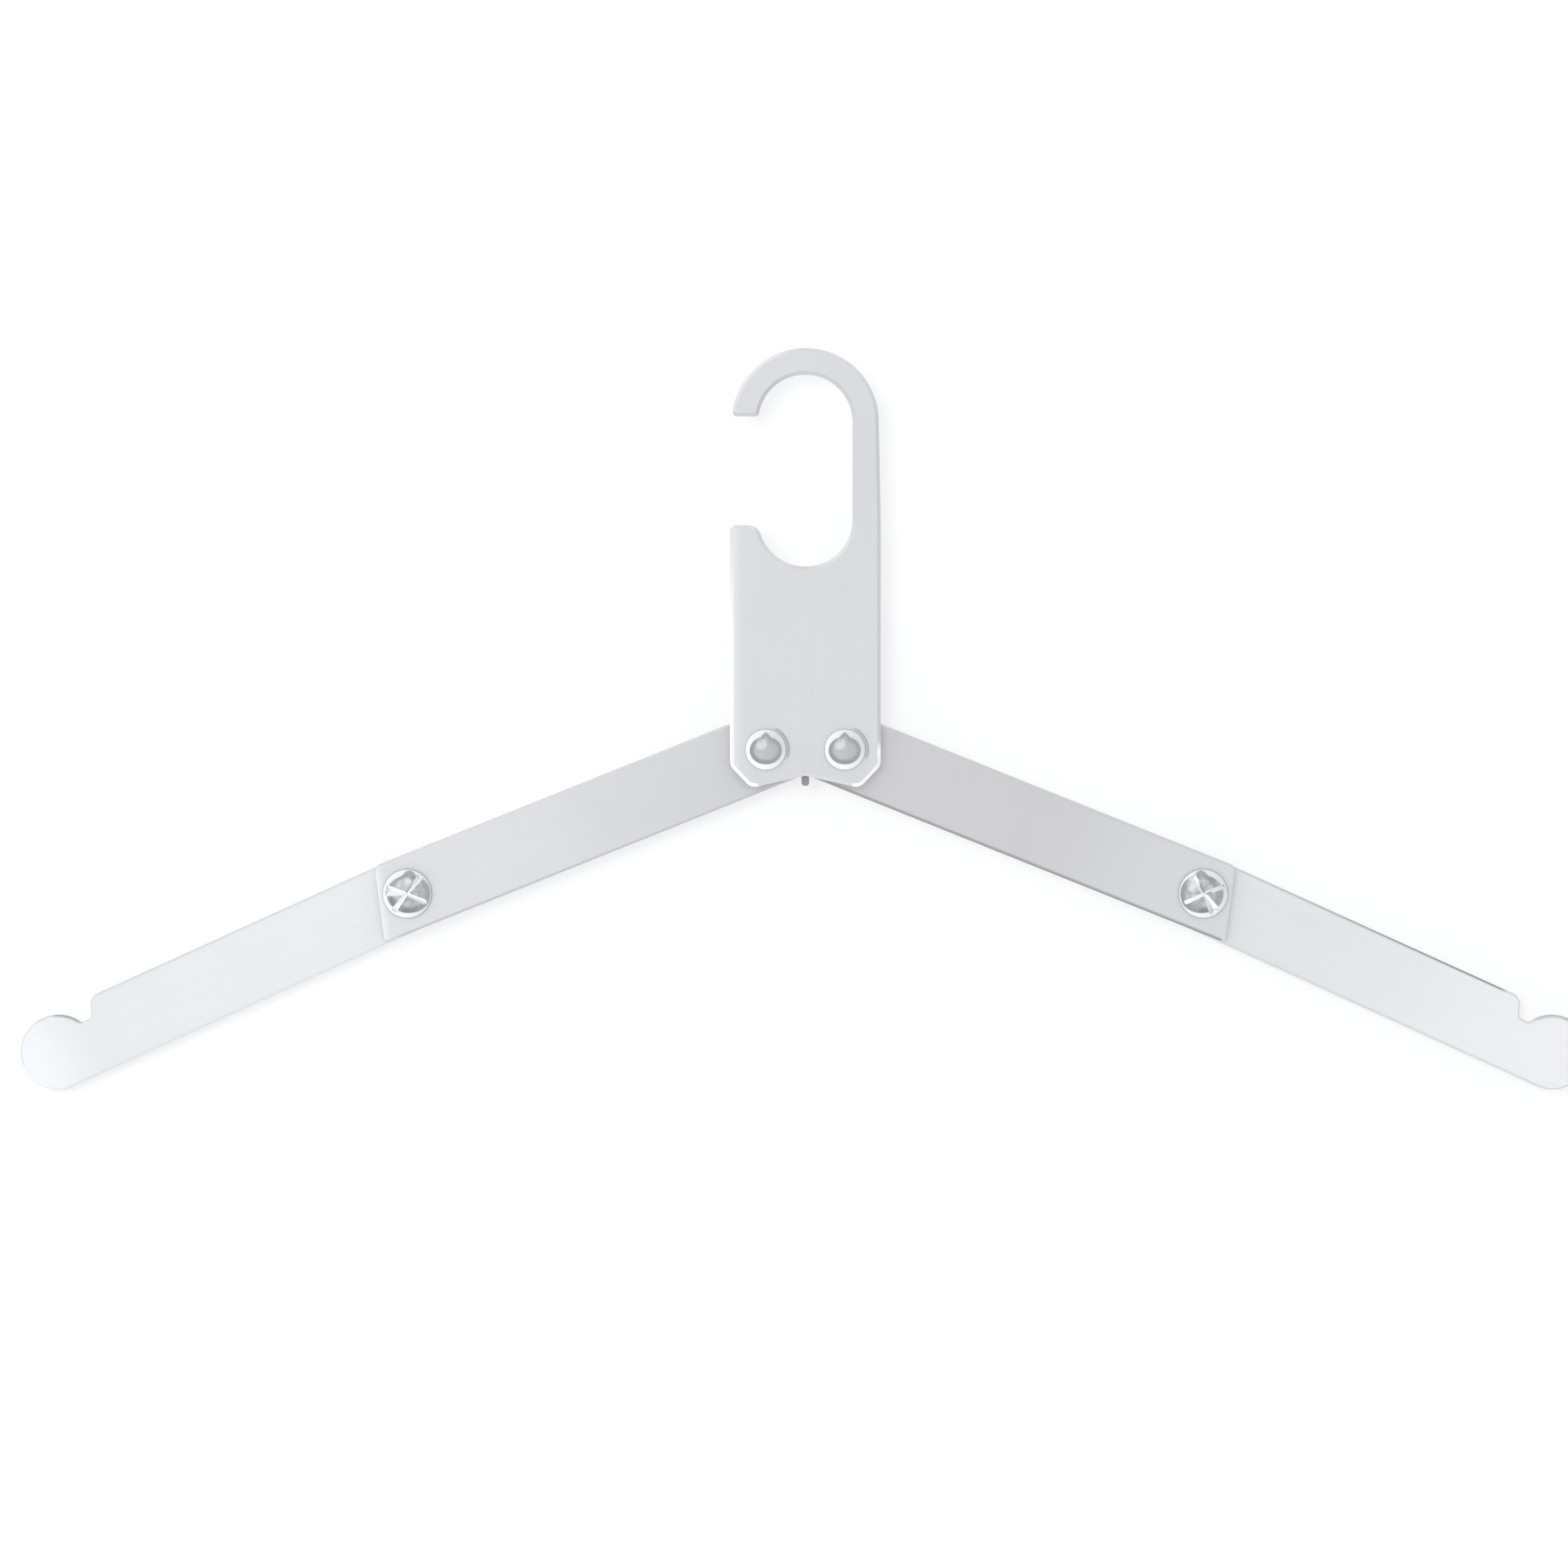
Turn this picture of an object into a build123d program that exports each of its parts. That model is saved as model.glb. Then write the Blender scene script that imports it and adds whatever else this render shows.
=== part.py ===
from build123d import *
import math
import os

# A folding travel hanger of stamped aluminium. A hook plate carries two upper arms on rivets, and each
# upper arm carries a lower arm on a screw and post. Lengths are in millimetres and angles in degrees.
# The origin is the centre of the hook's inner arc, half way through the plate. Seen from the front,
# which faces -Y, +X is right and +Z is up. The right side is modelled, and the left is its mirror image.

# Stamped sheet: all blanks are as thick. The arms' rims are tumbled round, and the plate's are coined.
sheet = 1.5
rim_round = 0.5
bevel_width = 0.9
bevel_depth = 0.45

# Hook plate: a C-shaped hook over a long opening, a plate that widens a little below it, and a foot with
# clipped corners and a shallow chevron.
rod_radius = 12.5
hook_band = 7.0
plate_width = 40.0
opening_drop = 26.0
tip_rise = 1.4
tip_corner = 1.2
ledge_drop = 1.5
ledge_round = 3.5
ledge_corner = 1.2
pivot_drop = 87.1
pivot_spread = 21.0
apex_drop = 6.95
chevron_slope = 12.5
clip_width = 5.6
clip_height = 5.9
clip_round = 3.0

# Yoke: a moulded spacer on both rivets, with a stop that hangs between the arms' inner ends.
yoke_pad_diameter = 16.0
yoke_web_height = 8.6
yoke_blend = 2.0
stop_width = 2.0
stop_height = 5.5
stop_hang = 2.65
stop_round = 0.8
stop_overrun = 0.3

# Arms: both are as wide as the pivots allow, and hang a little steeper from the elbow outwards.
arm_gap = 1.0
upper_length = 103.0
lower_length = 103.0
upper_slope = 21.85
lower_slope = 24.4
elbow_reach = 8.2
elbow_slant = 14.0
elbow_top_corner = 2.5
elbow_low_corner = 1.0
stop_corner = 0.8
stop_blend = 3.0

# Strap notch in the top edge of each lower arm, just inside its round end.
notch_depth = 5.4
notch_inset = 11.9
notch_lean = 20.0
notch_shoulder = 3.0
notch_fillet = 1.0

# Elbow stop: a pin in the upper arm, which the cut-back heel of the lower arm meets at both ends.
pin_diameter = 2.5
pin_offset = 7.9
pin_cover = 0.4
pin_recess = 0.3
pin_bevel = 0.3
heel_corner = 0.8

# Shoulder rivet: a polished dome in front, and a formed tail behind.
rivet_diameter = 5.0
dome_diameter = 11.0
dome_height = 2.2
dome_lip = 0.4
tail_diameter = 8.0
tail_height = 1.0
tail_bevel = 0.3

# Elbow screw and post: a domed cross-recess screw that closes a barrel nut from the front.
screw_head_diameter = 13.4
screw_crown = 1.9
screw_lip = 0.7
screw_rim_round = 0.9
screw_diameter = 3.0
recess_span = 9.0
recess_width = 1.6
recess_depth = 1.6
recess_round = 0.5
recess_turn = 25.5
post_diameter = 5.0
post_head_diameter = 10.0
post_head_height = 1.4
post_head_round = 0.6
post_floor = 0.6

# Washers and the elbow's spacer.
shoulder_washer_diameter = 10.0
elbow_spacer_diameter = 12.0
back_washer_diameter = 12.0
washer_height = 0.5

# Fits: on the radius where a piece turns or is seated, and on the faces where it slides.
running_fit = 0.08
seat_fit = 0.03
face_play = 0.05
stop_clearance = 0.05
hub_clearance = 0.25
fold_clearance = 0.5

# Sizes that follow from the ones above.
hook_radius = rod_radius + hook_band
plate_half = plate_width / 2
half_spread = pivot_spread / 2
apex = -pivot_drop - apex_drop
arm_width = pivot_spread - arm_gap
arm_half = arm_width / 2
screw_head_height = screw_crown + screw_lip
yoke_height = screw_head_height + fold_clearance
elbow_spacer_height = washer_height + tail_height + fold_clearance
elbow_bend = lower_slope - upper_slope
pin_radius = pin_diameter / 2
hub_radius = pin_offset - pin_radius - hub_clearance
heel_open = pin_offset * math.sin(math.radians(elbow_bend)) + pin_radius + stop_clearance
heel_folded = pin_radius + stop_clearance
stop_face = stop_width / 2 + stop_clearance

# Depths of the layers, from the front of the hanger to its back.
plate_front = -sheet / 2
plate_back = sheet / 2
yoke_back = plate_back + yoke_height
upper_front = yoke_back + face_play
upper_back = upper_front + sheet
tail_seat = upper_back + face_play + washer_height
tail_back = tail_seat + tail_height
lower_front = upper_back + elbow_spacer_height + face_play
lower_back = lower_front + sheet
post_seat = lower_back + face_play + washer_height
post_back = post_seat + post_head_height
screw_front = upper_front - screw_head_height

# Places of the right side's axes.
upper_cos = math.cos(math.radians(upper_slope))
upper_sin = math.sin(math.radians(upper_slope))
shoulder_axis = Pos(half_spread, 0, -pivot_drop)
elbow_axis = shoulder_axis * Pos(upper_length * upper_cos, 0, -upper_length * upper_sin)
upper_axes = shoulder_axis * Rot(0, upper_slope, 0)
lower_axes = elbow_axis * Rot(0, lower_slope, 0)


def blank(outline, front, back):
    """A plate of the outline, whose local X and Y become X and Z, between two depths."""
    return extrude(Plane(origin=(0, back, 0), x_dir=(1, 0, 0), z_dir=(0, -1, 0)) * outline, back - front)


def tumbled(outline, front, back):
    """A blank with the rims of its front and back rounded."""
    plate = blank(outline, front, back)
    flats = plate.faces().filter_by(Axis.Y).sort_by(Axis.Y)
    return fillet(flats[0].edges() + flats[-1].edges(), rim_round)


def coined(outline, front, back):
    """A blank with a shallow bevel pressed all along the rims of its front and back."""
    plate = blank(outline, front, back)
    for side in (0, -1):
        flat = plate.faces().filter_by(Axis.Y).sort_by(Axis.Y)[side]
        plate = chamfer(flat.edges(), bevel_width, bevel_depth, reference=flat)
    return plate


def turned(*profile):
    """A solid turned about Y, from edges in X (the radius) and Y (the depth)."""
    return revolve(make_face(profile), Axis.Y)


def ring(outer_radius, inner_radius, front, back):
    """A flat ring about Y between two depths."""
    return blank(Circle(outer_radius) - Circle(inner_radius), front, back)


def hook_plate():
    """The hook plate: hook, opening, throat, clipped corners, chevron foot and rivet holes."""
    clip_foot_x = plate_half - clip_width
    clip_foot_z = apex - clip_foot_x * math.tan(math.radians(chevron_slope))
    clip = [(plate_half, clip_foot_z + clip_height), (clip_foot_x, clip_foot_z)]
    right_foot = [(hook_radius, 0), (plate_half, -opening_drop), *clip]
    left_foot = [(-x, z) for x, z in reversed(right_foot)]
    foot = make_face(Polyline(*right_foot, (0, apex), *left_foot, close=True))
    foot = fillet(foot.vertices().filter_by(lambda v: abs(v.X) > 0 and v.Y < -pivot_drop / 2), clip_round)
    foot += Circle(hook_radius)

    # The opening is a long slot, open to the left between the hook's tip and the ledge.
    ledge_top = -opening_drop - ledge_drop
    opening = Circle(rod_radius) + Pos(0, -opening_drop) * Circle(rod_radius)
    opening += Pos(0, -opening_drop / 2) * Rectangle(2 * rod_radius, opening_drop)
    throat_height = tip_rise - ledge_top
    throat = Pos(-plate_half, (tip_rise + ledge_top) / 2) * Rectangle(plate_width, throat_height)
    outline = foot - opening - throat

    # The corners of the throat: two at the hook's tip, then the ledge's outer and inner one.
    tip = outline.vertices().filter_by(lambda v: abs(v.Y - tip_rise) < rim_round and v.X < 0)
    outline = fillet(tip, tip_corner)
    for end, corner in ((0, ledge_corner), (-1, ledge_round)):
        ledge = outline.vertices().filter_by(lambda v: abs(v.Y - ledge_top) < rim_round and v.X < 0)
        outline = fillet(ledge.sort_by(Axis.X)[end], corner)

    rivet_hole = Circle(rivet_diameter / 2 + seat_fit)
    holes = Sketch() + [Pos(side * half_spread, -pivot_drop) * rivet_hole for side in (-1, 1)]
    return coined(outline, plate_front, plate_back) - blank(holes, plate_front, plate_back)


def shoulder_yoke():
    """The moulded yoke: a pad round each rivet, a web between them and the arms' stop below it."""
    pads = [Pos(side * half_spread, -pivot_drop) * Circle(yoke_pad_diameter / 2) for side in (-1, 1)]
    outline = Pos(0, -pivot_drop) * Rectangle(pivot_spread, yoke_web_height) + pads
    outline = fillet(outline.vertices(), yoke_blend)
    bore = Circle(rivet_diameter / 2 + seat_fit)
    bores = Sketch() + [Pos(side * half_spread, -pivot_drop) * bore for side in (-1, 1)]

    # The stop shows under the plate's apex, and reaches back past the stop faces of both arms.
    stop = Pos(0, apex - stop_hang + stop_height / 2) * Rectangle(stop_width, stop_height)
    stop = fillet(stop.vertices().sort_by(Axis.Y)[:2], stop_round)
    yoke = blank(outline - bores, plate_back, yoke_back)
    return yoke + blank(stop, plate_back, upper_back + stop_overrun)


def upper_arm():
    """An upper arm: a round inner end with a stop corner, and a slanting outer end past the elbow."""
    end = upper_length + elbow_reach
    lean = arm_half * math.tan(math.radians(elbow_slant))
    corners = [(0, arm_half), (0, -arm_half), (end + lean, -arm_half), (end - lean, arm_half)]
    blade = make_face(Polyline(*corners, close=True))
    outline = fillet(blade.vertices().sort_by_distance((end - lean, arm_half))[0], elbow_top_corner)
    outline = fillet(outline.vertices().sort_by_distance((end + lean, -arm_half))[0], elbow_low_corner)
    outline += Circle(arm_half)

    # The stop face stands upright on the hanger, so it leans in the arm's own axes.
    face_low = (stop_face - half_spread + arm_half * upper_sin) / upper_cos
    rise = pivot_drop - math.sqrt(arm_half**2 - (half_spread - stop_face) ** 2)
    face_top_a = (stop_face - half_spread) * upper_cos + (pivot_drop - rise) * upper_sin
    face_top_n = (stop_face - half_spread) * upper_sin - (pivot_drop - rise) * upper_cos
    corner = Polyline((0, 0), (0, -arm_half), (face_low, -arm_half), (face_top_a, face_top_n), close=True)
    outline += make_face(corner)
    outline = fillet(outline.vertices().sort_by_distance((face_top_a, face_top_n))[0], stop_blend)
    outline = fillet(outline.vertices().sort_by_distance((face_low, -arm_half))[0], stop_corner)

    # Two sharp through holes, and a blind one from behind for the stop pin.
    holes = Circle(rivet_diameter / 2 + running_fit)
    holes += Pos(upper_length, 0) * Circle(post_diameter / 2 + seat_fit)
    pin_seat = Pos(upper_length, -pin_offset) * Circle(pin_radius + seat_fit)
    arm = tumbled(outline, upper_front, upper_back) - blank(holes, upper_front, upper_back)
    return upper_axes * (arm - blank(pin_seat, upper_front + pin_cover, upper_back))


def lower_arm():
    """A lower arm: a hub with cut-back heels, a straight blade, the strap notch and a round end."""
    heel_top = Pos((heel_folded + lower_length) / 2, arm_half / 2)
    heel_low = Pos((heel_open + lower_length) / 2, -arm_half / 2)
    blade = heel_top * Rectangle(lower_length - heel_folded, arm_half)
    blade += heel_low * Rectangle(lower_length - heel_open, arm_half)

    # The notch has a leaning inner wall and a short floor, and the round end is its outer wall.
    floor = arm_half - notch_depth
    wall_foot = lower_length - notch_inset
    wall_top = wall_foot - notch_depth * math.tan(math.radians(notch_lean))
    notch = Polyline(
        (wall_foot, floor), (wall_top, arm_half), (lower_length, arm_half), (lower_length, floor), close=True
    )
    blade -= make_face(notch)
    outline = blade + Circle(hub_radius) + Pos(lower_length, 0) * Circle(arm_half)

    heels = outline.vertices().filter_by(lambda v: v.X < heel_open + heel_corner and abs(v.Y) > hub_radius)
    outline = fillet(heels, heel_corner)
    outline = fillet(outline.vertices().sort_by_distance((wall_top, arm_half))[0], notch_shoulder)
    outline = fillet(outline.vertices().sort_by_distance((wall_foot, floor))[0], notch_fillet)
    lobe_foot = lower_length - math.sqrt(arm_half**2 - floor**2)
    outline = fillet(outline.vertices().sort_by_distance((lobe_foot, floor))[0], notch_fillet)

    hole = Circle(post_diameter / 2 + running_fit)
    return lower_axes * (tumbled(outline, lower_front, lower_back) - blank(hole, lower_front, lower_back))


def shoulder_rivet():
    """A shoulder rivet: a low polished dome, its shank and the formed tail behind."""
    dome = dome_diameter / 2
    shank = rivet_diameter / 2
    tail = tail_diameter / 2
    cap = dome_height - dome_lip
    cap_radius = (dome**2 + cap**2) / (2 * cap)
    lip = plate_front - dome_lip
    rivet = turned(
        RadiusArc((0, plate_front - dome_height), (dome, lip), -cap_radius),
        Polyline(
            (dome, lip),
            (dome, plate_front),
            (shank, plate_front),
            (shank, tail_seat),
            (tail, tail_seat),
            (tail, tail_back - tail_bevel),
            (tail - tail_bevel, tail_back),
            (0, tail_back),
            (0, plate_front - dome_height),
        ),
    )
    return shoulder_axis * rivet


def shoulder_washer():
    """The washer under the rivet's tail."""
    bore = rivet_diameter / 2 + seat_fit
    return shoulder_axis * ring(shoulder_washer_diameter / 2, bore, tail_seat - washer_height, tail_seat)


def elbow_screw():
    """The elbow screw: a domed head with a cross recess, and its shank in the post."""
    head = screw_head_diameter / 2
    shank = screw_diameter / 2
    dome_radius = (head**2 + screw_crown**2) / (2 * screw_crown)
    lip = screw_front + screw_crown
    shank_end = post_back - post_floor - fold_clearance
    screw = turned(
        RadiusArc((0, screw_front), (head, lip), -dome_radius),
        Polyline(
            (head, lip),
            (head, upper_front),
            (shank, upper_front),
            (shank, shank_end),
            (0, shank_end),
            (0, screw_front),
        ),
    )
    rim = screw.edges().sort_by_distance((-head, lip, 0))[0]
    screw = fillet(rim, screw_rim_round)
    wing = RectangleRounded(recess_span, recess_width, recess_round)
    cross = Rot(0, 0, recess_turn) * (wing + Rot(0, 0, 90) * wing)
    return elbow_axis * (screw - blank(cross, screw_front, screw_front + recess_depth))


def elbow_post():
    """The barrel nut: a smooth head behind the lower arm and a barrel that both arms sit on."""
    head = post_head_diameter / 2
    barrel = post_diameter / 2
    bore = screw_diameter / 2 + seat_fit
    mouth = upper_front + face_play
    bore_end = post_back - post_floor
    post = turned(
        Polyline(
            (bore, mouth),
            (barrel, mouth),
            (barrel, post_seat),
            (head, post_seat),
            (head, post_back - post_head_round),
        ),
        RadiusArc(
            (head, post_back - post_head_round), (head - post_head_round, post_back), -post_head_round
        ),
        Polyline(
            (head - post_head_round, post_back), (0, post_back), (0, bore_end), (bore, bore_end), (bore, mouth)
        ),
    )
    return elbow_axis * post


def elbow_spacer():
    """The plastic spacer between the upper and the lower arm."""
    bore = post_diameter / 2 + seat_fit
    return elbow_axis * ring(elbow_spacer_diameter / 2, bore, upper_back, upper_back + elbow_spacer_height)


def elbow_back_washer():
    """The washer under the post's head."""
    bore = post_diameter / 2 + seat_fit
    return elbow_axis * ring(back_washer_diameter / 2, bore, post_seat - washer_height, post_seat)


def elbow_stop_pin():
    """The stop pin, seated in the back of the upper arm and ending just short of the lower arm's back."""
    pin = blank(Circle(pin_radius), upper_front + pin_cover, lower_back - pin_recess)
    pin = chamfer(pin.edges().filter_by(GeomType.CIRCLE), pin_bevel)
    return upper_axes * Pos(upper_length, 0, -pin_offset) * pin


paired = {
    "upper_arm": upper_arm,
    "lower_arm": lower_arm,
    "shoulder_rivet": shoulder_rivet,
    "shoulder_washer": shoulder_washer,
    "elbow_screw": elbow_screw,
    "elbow_post": elbow_post,
    "elbow_spacer": elbow_spacer,
    "elbow_back_washer": elbow_back_washer,
    "elbow_stop_pin": elbow_stop_pin,
}

pieces = {"hook_plate": hook_plate(), "shoulder_yoke": shoulder_yoke()}
for name, make in paired.items():
    right = make()
    pieces["right_" + name] = right
    pieces["left_" + name] = mirror(right, about=Plane.YZ)

os.makedirs("parts", exist_ok=True)
for name, piece in pieces.items():
    piece.label = name
    export_step(piece, f"parts/{name}.step")
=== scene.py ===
import logging
import math
from dataclasses import dataclass, field
from enum import Enum
from typing import Optional, Union

import bmesh
import bpy
import numpy as np
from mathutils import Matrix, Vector


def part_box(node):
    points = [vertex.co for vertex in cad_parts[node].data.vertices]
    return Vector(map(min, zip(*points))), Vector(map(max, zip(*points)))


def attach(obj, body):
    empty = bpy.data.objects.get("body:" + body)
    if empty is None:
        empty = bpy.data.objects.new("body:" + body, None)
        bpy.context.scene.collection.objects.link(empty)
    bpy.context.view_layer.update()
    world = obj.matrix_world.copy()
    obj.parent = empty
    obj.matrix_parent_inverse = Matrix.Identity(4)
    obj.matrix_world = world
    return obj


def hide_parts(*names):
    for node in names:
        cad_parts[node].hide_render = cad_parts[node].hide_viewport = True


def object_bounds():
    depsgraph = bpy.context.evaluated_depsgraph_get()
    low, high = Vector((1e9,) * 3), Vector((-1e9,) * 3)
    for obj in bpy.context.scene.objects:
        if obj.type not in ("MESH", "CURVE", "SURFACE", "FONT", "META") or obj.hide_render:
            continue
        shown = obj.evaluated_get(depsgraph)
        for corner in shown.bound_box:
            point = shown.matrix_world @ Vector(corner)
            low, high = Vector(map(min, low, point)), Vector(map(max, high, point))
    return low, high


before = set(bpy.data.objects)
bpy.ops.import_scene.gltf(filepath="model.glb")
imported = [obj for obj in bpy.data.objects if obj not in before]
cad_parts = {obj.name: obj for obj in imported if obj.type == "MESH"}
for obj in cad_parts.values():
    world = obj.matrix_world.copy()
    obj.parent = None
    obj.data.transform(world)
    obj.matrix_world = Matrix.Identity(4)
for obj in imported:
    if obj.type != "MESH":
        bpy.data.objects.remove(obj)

# The looks of a folding travel hanger: satin aluminium sheets, polished steel fasteners and dark nylon
# spacers, face on before a white cove. Lengths are in metres and angles in radians, unless a comment says
# degrees. The front faces -Y, +X is right and +Z is up, and every joint turns about Y.

LOG = logging.getLogger("hanger")
CAD_BOX = [list(corner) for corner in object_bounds()]
MM = 0.001
MERGE_WITHIN = 0.0005 * MM
TINY = 1e-12

Pair = tuple[float, float]
Triple = tuple[float, float, float]
Colour = Triple
Socket = bpy.types.NodeSocket
Feed = Union[float, Triple, Socket]
Inputs = dict[Union[str, int], Feed]


class Side(Enum):
    """The two mirrored halves of the hanger, seen from the front."""

    LEFT = "left"
    RIGHT = "right"

    def node(self, part: str) -> str:
        """The CAD node's name for one of this side's parts."""
        return f"{self.value}_{part}"

    @property
    def sign(self) -> int:
        """-1 on the left and 1 on the right."""
        return 1 if self is Side.RIGHT else -1


class Polish(Enum):
    """How finely a steel piece is finished: its roughness."""

    MIRROR = 0.05
    BRIGHT = 0.14
    SATIN = 0.32


def middle_of(node: str) -> Vector:
    """The centre of a CAD node's box."""
    low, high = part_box(node)
    return (low + high) / 2


def shaded(colour: Colour, share: float) -> Colour:
    """A colour with each of its parts times a share."""
    return tuple(share * part for part in colour)


# Meshes: profiles and height fields worked out as whole arrays.


def arc(centre: Pair, radius: float, start: float, end: float, steps: int) -> np.ndarray:
    """Points on a circular arc: centre plus radius times the cosine and sine of an evenly stepped angle.

    Args:
        centre: The arc's centre as (distance from the axis, depth).
        radius: The arc's radius.
        start: The first angle, from the outward direction towards the back.
        end: The last angle.
        steps: How many points, both ends included.

    Returns:
        An array of shape (steps, 2).
    """
    angle = np.linspace(start, end, steps)
    return np.stack([centre[0] + radius * np.cos(angle), centre[1] + radius * np.sin(angle)], axis=1)


def eased(corners: list[Triple], steps: int = 6) -> np.ndarray:
    """A profile through corners, each rounded by an arc tangent to the two straight runs that meet there.

    The arc starts radius / tan(half the inner angle) from the corner, and its centre lies on the bisector.
    Between the first corner and the last, one of radius 0 gives no point. It only aims the arcs beside it.

    Args:
        corners: Each corner's distance from the axis, depth and rounding radius.
        steps: How many points an arc gets.

    Returns:
        An array of shape (n, 2), in the corners' order.
    """
    places = np.array([corner[:2] for corner in corners])
    radii = [corner[2] for corner in corners[1:-1]]
    runs = [places[:1]]
    for before, here, after, radius in zip(places, places[1:], places[2:], radii):
        back = (before - here) / np.linalg.norm(before - here)
        on = (after - here) / np.linalg.norm(after - here)
        half = math.acos(float(np.clip(back @ on, -1, 1))) / 2
        centre = here + (back + on) / np.linalg.norm(back + on) * radius / math.sin(half)
        first = here + back * radius / math.tan(half) - centre
        last = here + on * radius / math.tan(half) - centre
        share = np.linspace(0, 1, steps)[:, None]
        chord = first * (1 - share) + last * share
        scale = radius / np.maximum(np.linalg.norm(chord, axis=1, keepdims=True), TINY)
        runs.append(centre + chord * scale if radius else places[:0])
    runs.append(places[-1:])
    return np.concatenate(runs)


def grid_piece(name: str, points: np.ndarray, sharp_degrees: float = 32.0) -> bpy.types.Object:
    """A mesh object from a grid of points that closes on itself along its second axis.

    Faces join each point to its neighbours, the last column to the first. Rows that shrink to one point
    close as poles when the doubles are merged, and the normals are then turned outwards.

    Args:
        name: The piece's name.
        points: An array of shape (rows, columns, 3).
        sharp_degrees: Edges that turn by more than this are drawn sharp.

    Returns:
        The new object, at the origin.
    """
    rows, columns = points.shape[:2]
    row = np.arange(rows - 1)[:, None] * columns
    column = np.arange(columns)[None, :]
    here = row + column
    beside = row + (column + 1) % columns
    faces = np.stack([here, beside, beside + columns, here + columns], axis=-1).reshape(-1, 4)
    mesh = bpy.data.meshes.new(name)
    mesh.from_pydata(points.reshape(-1, 3).tolist(), [], faces.tolist())
    work = bmesh.new()
    work.from_mesh(mesh)
    bmesh.ops.remove_doubles(work, verts=work.verts, dist=MERGE_WITHIN)
    bmesh.ops.recalc_face_normals(work, faces=work.faces)
    work.to_mesh(mesh)
    work.free()
    mesh.shade_smooth()
    mesh.set_sharp_from_angle(angle=math.radians(sharp_degrees))
    piece = bpy.data.objects.new(name, mesh)
    bpy.context.scene.collection.objects.link(piece)
    return piece


def turned_piece(name: str, axis: Vector, profile: np.ndarray, steps: int = 128) -> bpy.types.Object:
    """A surface of revolution about Y: each profile point carried round a circle of its own radius.

    Args:
        name: The piece's name.
        axis: A point on the axis, whose X and Z are used.
        profile: Points as (radius, depth), shape (n, 2).
        steps: How many columns go round.

    Returns:
        The new object, at the origin with its place in its mesh.
    """
    angle = np.linspace(0, 2 * math.pi, steps, endpoint=False)
    radius, depth = profile[:, :1], profile[:, 1:]
    across = axis.x + radius * np.cos(angle)
    up = axis.z + radius * np.sin(angle)
    return grid_piece(name, np.stack([across, np.broadcast_to(depth, across.shape), up], axis=-1))


def ball_radius(reach: float, height: float) -> float:
    """The radius of the ball that a dome is cut from: reach**2 plus height**2, over twice the height."""
    return (reach**2 + height**2) / (2 * height)


def dome_depth(radius: np.ndarray, ball: float, front: float) -> np.ndarray:
    """The depth of a dome of a ball's radius at a distance from its axis, from its front point backwards."""
    return front + ball - np.sqrt(ball**2 - radius**2)


# Shader groups: each effect is built once, and every material gives it its own values.


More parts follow.
